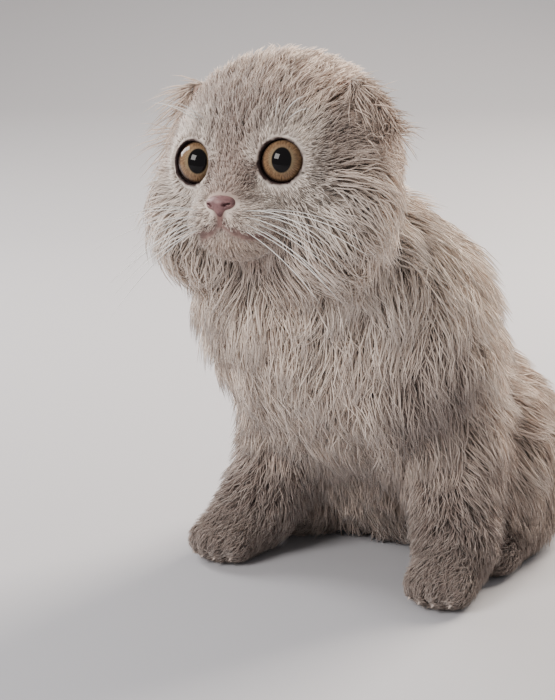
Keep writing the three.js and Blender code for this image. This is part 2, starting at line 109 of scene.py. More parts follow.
# Four toes on each paw, by their place across it
TOES = (-1.5, -0.5, 0.5, 1.5)
body_rows = [
    limb((-6, -54, 136), (-2, -38, 112), 23, 26, 15, DOWN, CREAM),
    ball((0, -26, 98), (33, 33, 34), 19, DOWN, CREAM),
    ball((-17, -44, 112), (20, 17, 30), 16, DOWN, CREAM),
    ball((0, 0, 78), (31, 36, 35), 12, (0, 0.6, -0.8), FAWN),
    ball((0, 30, 41), (34, 36, 36), 12, (0, 0.45, -0.9), FAWN),
    *both(lambda s: ball((s * 24, -18, 88), (15, 20, 26), 13, (s * 0.2, 0.3, -1), CREAM)),
    *both(lambda s: limb((s * 28, -16, 78), (s * 34, -10, 48), 13, 10, 10, (s * 0.3, 0.5, -1), FAWN)),
    *both(lambda s: limb((s * 34, -10, 48), (s * 42, -22, 18), 9.5, 8, 8, (s * 0.2, 0.35, -1), LILAC)),
    *both(lambda s: limb((s * 43, -24, 13), (s * 46, -35, 9), 9, 8.5, 4, (0, -1, -0.3), LILAC)),
    *both(lambda s: ball((s * 31, 28, 32), (18, 31, 27), 10, (s * 0.1, 0.35, -1), FAWN)),
    *both(lambda s: limb((s * 36, 50, 9), (s * 43, 5, 8.5), 7.5, 7.5, 5, (0, -1, -0.2), LILAC)),
]
tail_line = [(0, 58, 18), (-9, 84, 12), (-34, 101, 10.5), (-62, 98, 10), (-84, 80, 9.5)]
tail_rows = []
for i, (a, b) in enumerate(zip(tail_line, tail_line[1:])):
    tail_rows.append(limb(a, b, 7.5 - i, 6.5 - i, 11, tuple(np.subtract(b, a)), FAWN))
toe_rows = []
for s in (1, -1):
    for x, y in (FORE_PAW, HIND_PAW):
        for t in TOES:
            at = (s * x + t * 5.4, y - 7.5 + 1.3 * t * t, 7.5)
            toe_rows.append(ball(at, (3.1, 6.2, 4.9), 2.5, (0, -1, -0.4), LILAC))


def unit(v):
    return v / (np.linalg.norm(v, axis=-1, keepdims=True) + 1e-12)


def distance(row, p):
    """Distance from points to a row's shape"""
    if row[0] == "ball":
        q = p - np.array(row[1], np.float32)
        half = np.array(row[2], np.float32)
        near = np.linalg.norm(q / half, axis=1)
        return near * (near - 1) / (np.linalg.norm(q / half**2, axis=1) + 1e-9)
    a, b = np.array(row[1], np.float32), np.array(row[2], np.float32)
    along = b - a
    t = np.clip((p - a) @ along / (along @ along), 0, 1)
    return np.linalg.norm(p - a - t[:, None] * along, axis=1) - (row[3] + (row[4] - row[3]) * t)


def group(rows, p, softness):
    """A smooth union: its distance, coat depth, lie and colour at each point"""
    d = np.stack([distance(row, p) for row in rows])
    least = d.min(0)
    share = np.exp((least - d) / softness)
    total = share.sum(0)
    share /= total
    facts = np.array([[row[-3], *unit(np.array(row[-2], float)), *row[-1]] for row in rows], np.float32)
    return least - softness * np.log(total), share.T @ facts


def join(a, b, softness):
    """The smooth union of two groups"""
    (da, fa), (db, fb) = a, b
    least = np.minimum(da, db)
    wa, wb = np.exp((least - da) / softness), np.exp((least - db) / softness)
    total = wa + wb
    return least - softness * np.log(total), (fa * wa[:, None] + fb * wb[:, None]) / total[:, None]


def flesh(p):
    """Distance to the skin, and the blended facts there: [coat depth, lie x y z, colour r g b]"""
    p = np.asarray(p, np.float32)
    head_turn = HEAD_TURN.astype(np.float32)
    d, facts = group(head_rows, (p - HEAD_AT.astype(np.float32)) @ head_turn, 2.5)
    facts[:, 1:4] = facts[:, 1:4] @ head_turn.T
    body = join(group(body_rows + tail_rows, p, 5), group(toe_rows, p, 1.2), 1.5)
    return join((d, facts), body, 5)


SLOPE_STEP = 0.5


def slope(p):
    """The outward normal of the skin"""
    g = np.zeros((len(p), 3), np.float32)
    for axis in range(3):
        e = np.zeros(3, np.float32)
        e[axis] = SLOPE_STEP
        g[:, axis] = flesh(p + e)[0] - flesh(p - e)[0]
    return unit(g)


def eye_centre(side):
    return on_head(side * EYE_OUT, EYE_FORWARD, EYE_UP)


def eye_way(side):
    return head_way(side * math.sin(EYE_AIM), -math.cos(EYE_AIM), 0.04)


# The shift from the kitten's own frame to the model's, whose origin is the middle of the base
SHIFT = np.array([18.9, -4.1, 0.0])


def mesh_object(name, points, faces):
    mesh = bpy.data.meshes.new(name)
    mesh.from_pydata(points.tolist() if hasattr(points, "tolist") else points, [], faces)
    mesh.update()
    mesh.shade_smooth()
    made = bpy.data.objects.new(name, mesh)
    bpy.context.scene.collection.objects.link(made)
    return made


def plain_material(name, colour, roughness):
    made = bpy.data.materials.new(name)
    made.use_nodes = True
    shader = made.node_tree.nodes["Principled BSDF"]
    shader.inputs["Base Color"].default_value = (*colour, 1)
    shader.inputs["Roughness"].default_value = roughness
    return made


def grid_lines(first, *stretches):
    """Grid lines from a first value, through stretches of an end and a step"""
    lines = [first]
    for end, step in stretches:
        n = round((end - lines[-1]) / step)
        lines += list(np.linspace(lines[-1], end, n + 1)[1:])
    return np.array(lines)


BATCH = 150000


def surface(field, xs, ys, zs):
    """Points and faces where a field crosses zero, with one point in each crossed cell"""
    shape = (len(xs), len(ys), len(zs))
    grid = np.stack(np.meshgrid(xs, ys, zs, indexing="ij"), -1).reshape(-1, 3).astype(np.float32)
    value = np.concatenate([field(grid[i:i + BATCH]) for i in range(0, len(grid), BATCH)]).reshape(shape)
    for axis in range(3):
        for end in (0, -1):
            rim = [slice(None)] * 3
            rim[axis] = end
            value[tuple(rim)] = np.maximum(value[tuple(rim)], 1)
    lines = [xs, ys, zs]
    cells = tuple(n - 1 for n in shape)
    total = np.zeros((*cells, 3))
    count = np.zeros(cells)
    crossings = []
    for axis in range(3):
        a = value[tuple(slice(0, -1) if k == axis else slice(None) for k in range(3))]
        b = value[tuple(slice(1, None) if k == axis else slice(None) for k in range(3))]
        i, j, k = np.nonzero((a < 0) != (b < 0))
        at = np.stack([i, j, k], 1)
        va, vb = a[i, j, k], b[i, j, k]
        point = np.stack([lines[n][at[:, n]] for n in range(3)], 1)
        point[:, axis] += (lines[axis][at[:, axis] + 1] - point[:, axis]) * va / (va - vb)
        crossings.append((axis, at, va < 0))
        u, w = (axis + 1) % 3, (axis + 2) % 3
        for du in (0, -1):
            for dw in (0, -1):
                cell = at.copy()
                cell[:, u] += du
                cell[:, w] += dw
                keep = np.all((cell >= 0) & (cell < cells), 1)
                index = tuple(cell[keep].T)
                np.add.at(total, index, point[keep])
                np.add.at(count, index, 1)
    number = np.full(cells, -1)
    used = count > 0
    number[used] = np.arange(used.sum())
    points = total[used] / count[used][:, None]
    faces = []
    for axis, at, inside in crossings:
        u, w = (axis + 1) % 3, (axis + 2) % 3
        ring = []
        for du, dw in ((-1, -1), (0, -1), (0, 0), (-1, 0)):
            cell = at.copy()
            cell[:, u] += du
            cell[:, w] += dw
            ring.append(number[tuple(cell.T)])
        quads = np.stack(ring, 1)
        quads[~inside] = quads[~inside][:, ::-1]
        faces.append(quads)
    return points, np.concatenate(faces)


def smooth_cut(a, b, softness):
    """What is in a and not in b"""
    h = np.clip(0.5 - 0.5 * (a + b) / softness, 0, 1)
    return a * (1 - h) - b * h + softness * h * (1 - h)


MOUTH = [(0, -42.5, -13.2), (0, -42.2, -16.4), (2.6, -41.8, -18.9), (6.5, -40, -20.2), (10.5, -36.5, -20.8),
         (13.5, -32.5, -19.6)]


def to_line(p, line):
    """Distance from points to a line of points"""
    best = np.full(len(p), 1e3)
    for a, b in zip(line, line[1:]):
        along = b - a
        t = np.clip((p - a) @ along / (along @ along), 0, 1)
        best = np.minimum(best, np.linalg.norm(p - a - t[:, None] * along, axis=1))
    return best


mouth_lines = [[on_head(s * x, y, z) for x, y, z in MOUTH] for s in (1, -1)]


def from_eye(p, side):
    """Height along an eye's own axis, and distance from that axis"""
    q = p - eye_centre(side)
    height = q @ eye_way(side)
    return height, np.sqrt(np.maximum((q * q).sum(1) - height**2, 0))


# The lids' rims in millimetres off and along each eye's axis, and the groove of the mouth
LID_RING, LID_HEIGHT, LID_THICK, LID_OPENING, SOCKET_GAP = 7.35, 4.2, 0.8, 6.7, 0.25
MOUTH_RADIUS = 0.9
FACE_REACH = 34


def skin_field(p):
    """Distance to the skin, cut for the eyes and mouth and cut flat at the floor"""
    d = flesh(p)[0]
    near = np.nonzero(np.linalg.norm(p - on_head(0, -30, -4), axis=1) < FACE_REACH)[0]
    if len(near):
        q, f = p[near], d[near]
        for s in (1, -1):
            height, off = from_eye(q, s)
            lid = np.hypot(off - LID_RING, height - LID_HEIGHT) - LID_THICK
            f = -smooth_cut(-f, lid, LID_THICK)
            socket = np.linalg.norm(q - eye_centre(s), axis=1) - EYE_RADIUS - SOCKET_GAP
            f = smooth_cut(f, socket, 0.3)
            flare = off - LID_OPENING - 0.35 * np.maximum(height - 4, 0)
            f = smooth_cut(f, np.maximum(flare, 2.5 - height), 0.8)
        for line in mouth_lines:
            f = smooth_cut(f, to_line(q, line) - MOUTH_RADIUS, 1.2)
        d[near] = f
    return np.maximum(d, -p[:, 2])


# The grid is finest on the face
FINE, MIDDLE, COARSE = 1.15, 2.4, 3
skin_points, skin_faces = surface(
    skin_field,
    grid_lines(-96, (-44, COARSE), (29, FINE), (60, COARSE)),
    grid_lines(-112, (-80, FINE), (-40, MIDDLE), (110, COARSE)),
    grid_lines(-3, (126, COARSE), (184, FINE), (190, COARSE)),
)

# The body's patches: a pale ruff made paler as painted light, painted shade in the hollow beside it, a cream
# front of the neck, a fawn lower chest darkened as painted shade, painted shade on the lower legs and painted
# light on the back
BODY_TINTS_AND_PAINTED_LIGHT = [
    # A pale ruff, made paler still as painted light where the warm back lamp falls
    ((26, -52, 132), (16, 18, 16), PALE, 0.7),
    # Painted shade in the hollow beside the ruff
    ((36, -38, 86), (11, 16, 20), SMOKE, 0.9),
    ((-20, -60, 130), (18, 14, 16), CREAM, 0.6),
    # A fawn lower chest, darker as painted shade under the head
    ((0, -45, 78), (20, 16, 22), FAWN, 0.4),
    # Painted shade on the lower legs, near the floor
    ((44, -30, 22), (16, 18, 18), SMOKE, 0.5),
    ((-44, -30, 22), (16, 18, 18), SMOKE, 0.5),
    # Painted light on the back, in cream
    ((12, 30, 90), (30, 30, 26), CREAM, 0.5),
]


def markings_and_painted_light(p):
    """Colour of the coat at a root, where the face has its own darker and paler parts, and the body has
    painted light and painted shade
    """
    tone = flesh(p)[1][:, 4:7].astype(float)

    def paint(at, half, colour, strength, soft=0.5):
        nonlocal tone
        q = (p - on_head(*at)) @ HEAD_TURN / np.array(half)
        w = strength * np.clip((1 + soft - np.linalg.norm(q, axis=1)) / soft, 0, 1)[:, None]
        tone = tone * (1 - w) + np.array(colour) * w

    # Pale round the eyes, dark at their inner corners, beside the nose and in stripes up the forehead, with
    # three rows of dark spots on each whisker pad
    for s in (1, -1):
        paint((s * 17, -26, -8), (12, 9, 7), PALE, 0.85)
        paint((s * 16, -22, 14), (10, 8, 4.5), PALE, 0.6)
        height, off = from_eye(p, s)
        w = 0.75 * (np.clip(1 - np.abs(off - 10) / 2.6, 0, 1) * (height > -6))[:, None]
        tone = tone * (1 - w) + np.array(PALE) * w
        paint((s * 30, -14, 2), (6, 12, 12), SMOKE, 0.25)
        paint((s * 7, -33, -1), (2.2, 6, 4), SMOKE, 0.85)
        paint((s * 7.5, -36, -8.5), (3.2, 4, 1.3), SMOKE, 0.7)
        for x, strength in ((3, 0.65), (9, 0.6), (15, 0.45)):
            paint((s * x, -20, 22), (1.5, 22, 11), SMOKE, strength, 0.8)
        paint((s * 7, -38, -15), (8, 7, 5), PALE, 0.45)
        for row in range(3):
            for column in range(4):
                spot = (s * (5 + 2.4 * column), -40 + 1.6 * column, -13.2 - 1.9 * row)
                paint(spot, (0.7, 2.5, 0.7), SMOKE, 0.85)
    paint((0, -36, -2), (4.5, 9, 9), LILAC, 0.7)
    paint((0, -37, -25), (6, 7, 4), FAWN, 0.6)
    for line in mouth_lines:
        w = 0.9 * np.clip((2.6 - to_line(p, line)) / 1.3, 0, 1)[:, None]
        tone = tone * (1 - w) + np.array(LIP) * w
    # The body's patches, with painted light and painted shade among them
    for at, half, colour, strength in BODY_TINTS_AND_PAINTED_LIGHT:
        w = strength * np.clip(1.5 - np.linalg.norm((p - at) / np.array(half), axis=1), 0, 1)[:, None]
        tone = tone * (1 - w) + np.array(colour) * w
    # The whole coat is painted darker towards the paws, as painted shade near the floor
    shade = np.clip((p[:, 2:3] - 2) / 80, 0, 1)
    return tone * (0.6 + 0.4 * shade)


def put_attribute(mesh, name, values):
    kind = "FLOAT_COLOR" if values.shape[1] == 4 else "FLOAT_VECTOR"
    made = mesh.attributes.new(name, kind, "POINT")
    made.data.foreach_set("color" if kind == "FLOAT_COLOR" else "vector", values.astype(np.float32).ravel())


class Wire:
    """A shader's value: a sum on it adds a Math node to its tree"""

    def __init__(self, socket):
        self.socket = socket

    def __add__(self, other):
        return maths("ADD", self, other)

    def __radd__(self, other):
        return maths("ADD", other, self)

    def __sub__(self, other):
        return maths("SUBTRACT", self, other)

    def __rsub__(self, other):
        return maths("SUBTRACT", other, self)

    def __mul__(self, other):
        return maths("MULTIPLY", self, other)

    def __rmul__(self, other):
        return maths("MULTIPLY", other, self)

    def __truediv__(self, other):
        return maths("DIVIDE", self, other)

    def __rtruediv__(self, other):
        return maths("DIVIDE", other, self)

    def __pow__(self, power):
        return maths("POWER", self, power)

    def __abs__(self):
        return maths("ABSOLUTE", self)


def plug(value, socket):
    """Link a wire to a socket, or set a number, vector or colour on it"""
    if isinstance(value, Wire):
        socket.id_data.links.new(value.socket, socket)
    elif socket.type == "RGBA":
        socket.default_value = (*value, 1)
    else:
        socket.default_value = value


def add_node(tree, kind, output, settings=None, **inputs):
    """Any other node: its settings first, then its sockets by name or identifier. Returns one output"""
    made = tree.nodes.new(kind)
    for name, value in (settings or {}).items():
        setattr(made, name, value)
    for name, value in inputs.items():
        plug(value, next(k for k in made.inputs if name in (k.identifier, k.name.replace(" ", "_"))))
    return Wire(next(k for k in made.outputs if output in (k.identifier, k.name)))


def maths(operation, *values):
    """A Math node, in the tree of the first wire among its values"""
    tree = next(value for value in values if isinstance(value, Wire)).socket.id_data
    inputs = dict(zip(("Value", "Value_001"), values))
    return add_node(tree, "ShaderNodeMath", "Value", {"operation": operation}, **inputs)


def noise(tree, place, scale, detail=2.0):
    return add_node(tree, "ShaderNodeTexNoise", "Fac", Vector=place, Scale=scale, Detail=detail)


def mix(tree, factor, a, b):
    """A colour between two"""
    kind = {"data_type": "RGBA"}
    return add_node(tree, "ShaderNodeMix", "Result_Color", kind, Factor_Float=factor, A_Color=a, B_Color=b)


def roughened(shader, height, strength, depth):
    """Bump on a shader, from a height"""
    sizes = {"Strength": strength, "Distance": depth}
    hollow = add_node(shader.id_data, "ShaderNodeBump", "Normal", Height=height, **sizes)
    plug(hollow, shader.inputs["Normal"])


GRAIN_DEPTH = 0.0004


def coat_material(name, roughness, grain, bump):
    """Hair or skin: the painted colour, lighter and darker in a fine grain"""
    made = plain_material(name, (0.5, 0.4, 0.35), roughness)
    tree = made.node_tree
    shader = tree.nodes["Principled BSDF"]
    paint = add_node(tree, "ShaderNodeAttribute", "Color", {"attribute_name": "paint"})
    place = add_node(tree, "ShaderNodeTexCoord", "Object")
    flecks = noise(tree, place, grain, 3.0)
    light = add_node(tree, "ShaderNodeMapRange", "Result", Value=flecks, To_Min=0.82, To_Max=1.18)
    tint = add_node(tree, "ShaderNodeVectorMath", "Vector", {"operation": "SCALE"}, Vector=paint, Scale=light)
    plug(tint, shader.inputs["Base Color"])
    if bump:
        roughened(shader, flecks, bump, GRAIN_DEPTH)
    shader.inputs["Specular IOR Level"].default_value = 0.25
    return made


skin = mesh_object("skin", (skin_points + SHIFT) / 1000, skin_faces.tolist())
skin_paint = markings_and_painted_light(skin_points) * 0.8
for s in (1, -1):
    height, off = from_eye(skin_points, s)
    w = np.clip((8.2 - off) / 0.5, 0, 1) * (height > -2) * (height < 6.3)
    skin_paint = skin_paint * (1 - w[:, None]) + np.array(LID_DARK) * w[:, None]
put_attribute(skin.data, "paint", np.c_[skin_paint, np.ones(len(skin_points))])
skin.data.materials.append(coat_material("skin_and_underfur", 0.8, 900.0, 0.5))
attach(skin, "root")
flesh_nodes = ["head", "neck", "chest", "torso", "rump", "tail_base", "tail_tip"]
for part in ("foreleg_", "forepaw_", "hindleg_", "hindpaw_"):
    flesh_nodes += [part + "left", part + "right"]
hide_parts(*flesh_nodes)

# Eyes
# Round, glossy eyes: an amber iris with fine rays and a darker rim, an upright oval pupil and a clear bulging
# front. Each is a closed ball set in its socket, with its pattern drawn round the line of sight.

PUPIL_WIDE, PUPIL_TALL, IRIS_EDGE = 3.2, 4.1, 7.1
AMBER_DARK, AMBER_LIGHT, AMBER_INNER, AMBER_CLOUD = (
    (0.10, 0.06, 0.035), (0.27, 0.165, 0.09), (0.22, 0.18, 0.11), (0.15, 0.085, 0.05))
IRIS_RIM, EYE_WHITE, PUPIL = (0.022, 0.013, 0.011), (0.05, 0.03, 0.028), (0.002, 0.0015, 0.002)


def ramp(tree, value, start, end):
    """From 0 at a start to 1 at an end, smoothly"""
    smooth = {"interpolation_type": "SMOOTHSTEP"}
    return add_node(tree, "ShaderNodeMapRange", "Result", smooth, Value=value, From_Min=start, From_Max=end)


def eye_material():
    """The iris and pupil, drawn from a place on the ball in millimetres off the eye's axis"""
    made = plain_material("eye", (0.1, 0.06, 0.04), 0.03)
    tree = made.node_tree
    shader = tree.nodes["Principled BSDF"]
    shader.inputs["Specular IOR Level"].default_value = 0
    shader.inputs["Coat Weight"].default_value = 0.7
    shader.inputs["Coat Roughness"].default_value = 0.02
    shader.inputs["Coat IOR"].default_value = 1.36
    place = add_node(tree, "ShaderNodeAttribute", "Vector", {"attribute_name": "place"})
    x, y = (add_node(tree, "ShaderNodeSeparateXYZ", name, Vector=place) for name in ("X", "Y"))
    off = maths("SQRT", x * x + y * y)
    slit = abs(x / PUPIL_WIDE) ** 2.0 + abs(y / PUPIL_TALL) ** 2.0
    angle = maths("ARCTAN2", y, x)
    rays_at = add_node(tree, "ShaderNodeCombineXYZ", "Vector", X=angle * 7.0, Y=off * 0.35)
    rays = noise(tree, rays_at, 2.2, 4.0)
    clouds = noise(tree, place, 0.8, 2.0)
    amber = mix(tree, ramp(tree, rays, 0.3, 0.72), AMBER_DARK, AMBER_LIGHT)
    inner = mix(tree, (1.0 - ramp(tree, off, 3.4, 5.2)) * 0.55, amber, AMBER_INNER)
    cloudy = mix(tree, ramp(tree, clouds, 0.45, 0.7) * 0.35, inner, AMBER_CLOUD)
    rimmed = mix(tree, ramp(tree, off, 5.9, IRIS_EDGE), cloudy, IRIS_RIM)
    white = mix(tree, ramp(tree, off, 7.2, 7.6), rimmed, EYE_WHITE)
    colour = mix(tree, 1.0 - ramp(tree, slit, 0.86, 1.14), white, PUPIL)
    plug(colour, shader.inputs["Base Color"])
    return made


# Both eyes look the same way, a little to the kitten's left
GAZE = (0.31, -0.95, 0.1)
CORNEA_BULGE, CORNEA_SPREAD = 0.045, 0.75


def eye(side):
    """A ball with a bulging front, whose poles are on the line of sight"""
    name = "eye_left" if side > 0 else "eye_right"
    way = head_way(*GAZE)
    across = unit(np.cross((0, 0, 1), way))
    upward = np.cross(way, across)
    around, rings = 64, 40
    points, places = [], []
    for i in range(rings + 1):
        a = math.pi * (i / rings) ** 1.25
        bulge = 1 + CORNEA_BULGE * max(0, 1 - (a / CORNEA_SPREAD) ** 2)
        for k in range(around if 0 < i < rings else 1):
            b = 2 * math.pi * k / around
            x, y = math.sin(a) * math.cos(b), math.sin(a) * math.sin(b)
            outward = across * x + upward * y + way * math.cos(a)
            points.append(eye_centre(side) + EYE_RADIUS * bulge * outward)
            places.append((EYE_RADIUS * x, EYE_RADIUS * y, EYE_RADIUS * math.cos(a)))
    faces = []
    for k in range(around):
        n = (k + 1) % around
        faces.append((0, 1 + k, 1 + n))
        for i in range(rings - 2):
            a = 1 + i * around
            faces.append((a + k, a + around + k, a + around + n, a + n))
        a = 1 + (rings - 2) * around
        faces.append((a + k, a + around, a + n))
    made = mesh_object(name + "_ball", (np.array(points) + SHIFT) / 1000, faces)
    put_attribute(made.data, "place", np.array(places))
    made.data.materials.append(eye_look)
    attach(made, "root")
    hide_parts(name)


eye_look = eye_material()
for s in (1, -1):
    eye(s)

# Nose leather
# The bare, dusty rose nose, over the split of the upper lip. It is one soft, pebbled T with two comma-shaped
# nostrils, pressed into the front of the muzzle.

NOSE_CELL, NOSE_REACH = 0.28, 7
ROSE_DARK, ROSE_LIGHT = (0.13, 0.062, 0.066), (0.24, 0.125, 0.125)


def nose_field(p):
    """Distance to the leather: two wings and a middle, cut by the nostrils"""
    q = (p - on_head(0, NOSE_FORWARD, NOSE_UP)) @ HEAD_TURN
    x, y, z = np.abs(q[:, 0]), q[:, 1], q[:, 2]

    def egg(at, half):
        r = np.stack([x - at[0], y - at[1], z - at[2]], 1) / np.array(half)
        n = np.linalg.norm(r, axis=1)
        return n * (n - 1) / (np.linalg.norm(r / np.array(half), axis=1) + 1e-9)

    pads = np.stack([egg((0, 0, 0.9), (3.9, 3.4, 2.3)), egg((3.2, 0.9, 0.5), (1.9, 2.4, 1.7)),
                     egg((0, 0.3, -1.6), (1.5, 2.6, 2.2))])
    d = -0.8 * np.log(np.exp(-pads / 0.8).sum(0))
    hole = np.minimum(egg((2.5, -2.9, 0.1), (0.75, 2, 0.6)), egg((3.6, -2, 0.5), (0.8, 1.8, 0.35)))
    return smooth_cut(d, hole, 0.25)


at = on_head(0, NOSE_FORWARD, NOSE_UP)
nose_grid = [grid_lines(c - NOSE_REACH, (c + NOSE_REACH, NOSE_CELL)) for c in at]
nose_points, nose_faces = surface(nose_field, *nose_grid)
nose = mesh_object("nose_leather", (nose_points + SHIFT) / 1000, nose_faces.tolist())
nose_look = plain_material("nose_leather", (0.25, 0.13, 0.13), 0.5)
tree = nose_look.node_tree
shader = tree.nodes["Principled BSDF"]
place = add_node(tree, "ShaderNodeTexCoord", "Object")
pebbles = add_node(tree, "ShaderNodeTexVoronoi", "Distance", Vector=place, Scale=2600.0)
roughened(shader, pebbles, 0.35, 0.0002)
blotch = noise(tree, place, 420.0, 2.0)
blotch = add_node(tree, "ShaderNodeMapRange", "Result", Value=blotch, From_Min=0.35, From_Max=0.65)
plug(mix(tree, blotch, ROSE_DARK, ROSE_LIGHT), shader.inputs["Base Color"])
nose.data.materials.append(nose_look)
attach(nose, "root")
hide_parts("nose")

# Ears
# Small thin ears that rise from the side of the crown and fold forward and down over their cup. Each is one
# sheet of gristle and skin with a thickness, furred outside and bare and pinkish inside.

EAR_AT, EAR_OUT, EAR_WIDE, EAR_LONG, EAR_THICK = (31, 7, 19.5), (0.82, 0.1, 0.56), 13, 23, 1.425
EAR_ROWS, EAR_COLUMNS = 30, 22
EAR_INSIDE = (0.30, 0.19, 0.16)


def ear_sheet(side, rows, columns):
    """Middle points of the flap, its outward normals and the way from its root to its tip"""
    out = unit(np.array(EAR_OUT) * (side, 1, 1))
    fold = np.array((side * 0.25, -0.85, -0.35))
    fold = unit(fold - out * (fold @ out))
    across = np.cross(out, fold) * side
    spine = np.array(EAR_AT) * (side, 1, 1) - out * 1.5
    points, normals, ways = [], [], []
    for r in range(rows + 1):
        t = r / rows
        u = np.clip((t - 0.06) / 0.36, 0, 1)
        bend = math.radians(-18 + 172 * u * u * (3 - 2 * u))
        way = out * math.cos(bend) + fold * math.sin(bend)
        face = np.cross(way, across) * side
        half = EAR_WIDE * (1 - 0.86 * t**1.5)
        for c in range(columns + 1):
            u = 2 * c / columns - 1
            cup = -4.2 * u * u * (1 - 0.6 * t)
            points.append(spine + across * u * half - fold * cup * 0.9 + out * cup * 0.5)
            normals.append(face)
            ways.append(way)
        spine = spine + way * EAR_LONG / rows
    flip = 1 if (np.array(normals[0]) @ fold) < 0 else -1
    turned = [np.array(a) @ HEAD_TURN.T for a in (points, normals, ways)]
    return turned[0] + HEAD_AT, turned[1] * flip, turned[2]


def ear(side):
    """The flap as a closed sheet, with its outer and inner faces painted"""
    name = "ear_left" if side > 0 else "ear_right"
    rows, columns = EAR_ROWS, EAR_COLUMNS
    middle, normal, way = ear_sheet(side, rows, columns)
    thick = EAR_THICK / 2
    points = np.concatenate([middle + normal * thick, middle - normal * thick])
    n = len(middle)

    def at(r, c):
        return r * (columns + 1) + c

    faces = []
    for r in range(rows):
        for c in range(columns):
            a, b, d, e = at(r, c), at(r, c + 1), at(r + 1, c + 1), at(r + 1, c)
            faces += [(a, b, d, e), (n + a, n + e, n + d, n + b)]
    edge = [at(r, 0) for r in range(rows)] + [at(rows, c) for c in range(columns)]
    edge += [at(r, columns) for r in range(rows, 0, -1)] + [at(0, c) for c in range(columns, 0, -1)]
    for a, b in zip(edge, edge[1:] + edge[:1]):
        faces.append((a, n + a, n + b, b))
    made = mesh_object(name + "_flap", (points + SHIFT) / 1000, faces)
    if np.array(made.data.polygons[0].normal) @ normal[0] < 0:
        made.data.flip_normals()
    tone = np.tile(np.array(FAWN) * 0.85, (2 * n, 1))
    tone[n:] = EAR_INSIDE
    put_attribute(made.data, "paint", np.c_[tone, np.ones(2 * n)])
    made.data.materials.append(ear_look)
    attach(made, "root")
    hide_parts(name)


ear_look = coat_material("ear_skin", 0.7, 500.0, 0.3)
for s in (1, -1):
    ear(s)

# Coat
# Long soft hair and short fur, in thin, closed, tapered strands. Each is rooted in the skin, follows the lie
# of the coat, sinks a little and is drawn to the nearest lock's line, so the long hair gathers into wisps.

rng = np.random.default_rng(11)


def scatter(points, quads, density, choose):
    """Roots spread over a surface by a density per square millimetre"""
    tri = np.concatenate([quads[:, [0, 1, 2]], quads[:, [0, 2, 3]]])
    a, b, c = points[tri[:, 0]], points[tri[:, 1]], points[tri[:, 2]]
    area = np.linalg.norm(np.cross(b - a, c - a), axis=1) / 2
    expected = area * density((a + b + c) / 3)
    number = np.floor(expected + rng.random(len(expected))).astype(int)
    pick = np.repeat(np.arange(len(tri)), number)
    u, v = np.sqrt(rng.random(len(pick))), rng.random(len(pick))
    roots = a[pick] * (1 - u)[:, None] + b[pick] * (u * (1 - v))[:, None] + c[pick] * (u * v)[:, None]
    return roots[choose(roots)]


def ease(x, low, high):
    """From 0 at a low value to 1 at a high one, smoothly"""
    t = np.clip((x - low) / (high - low), 0, 1)
    return t * t * (3 - 2 * t)


def comb(roots, steps, lift, sway, stretch, fall, wave):
    """Lines of points that rise from their roots and lie along the coat"""
    p = roots.copy()
    lines = []
    reached = 0
    coat0 = flesh(p)[1][:, 0]
    # Longer where the coat is deep, and shorter near the eyes, the mouth and the nose
    length = stretch * (1.8 + 1.15 * coat0 + ease(coat0, 6, 11) * 0.75 * coat0)
    off = np.minimum(*(np.linalg.norm(p - eye_centre(s), axis=1) for s in (1, -1)))
    length *= 0.4 + 0.6 * ease(off, 9, 24)
    length *= 0.35 + 0.65 * ease(np.minimum(*(to_line(p, line) for line in mouth_lines)), 1, 8)
    length *= 0.6 + 0.4 * ease(np.linalg.norm(p - on_head(0, -36, -4), axis=1), 6, 14)
    for t in steps:
        n = slope(p)
        way = unit(flesh(p)[1][:, 1:4])
        # Hair turns away from the eyes
        for s in (1, -1):
            from_centre = p - eye_centre(s)
            away = unit(from_centre - (from_centre @ eye_way(s))[:, None] * eye_way(s))
            near = 1 - ease(np.linalg.norm(from_centre, axis=1), 9, 19)
            way += away * (1.6 * near)[:, None]
        way[:, 2] -= fall * t * ease(coat0, 5, 10)
        way = unit(way - n * (way * n).sum(1)[:, None])
        side = np.cross(n, way)
        bend = sway * (0.4 + t) + wave[:, 0] * np.sin(wave[:, 1] + 7 * t)
        way = way * np.cos(bend)[:, None] + side * np.sin(bend)[:, None]
        p = p + way * ((t - reached) * length)[:, None]
        reached = t
        d, facts = flesh(p)
        # It rises by the coat's depth, from a root a little inside the skin, and stays above the floor
        coat = facts[:, 0] * 0.5 + coat0 * 0.5
        p = p + slope(p) * (coat * lift * t**0.62 - d - 0.35 * (t == 0))[:, None]
        p[:, 2] = np.maximum(p[:, 2], 0.25 + 0.5 * rng.random(len(p)))
        lines.append(p.copy())
    return np.stack(lines, 1)


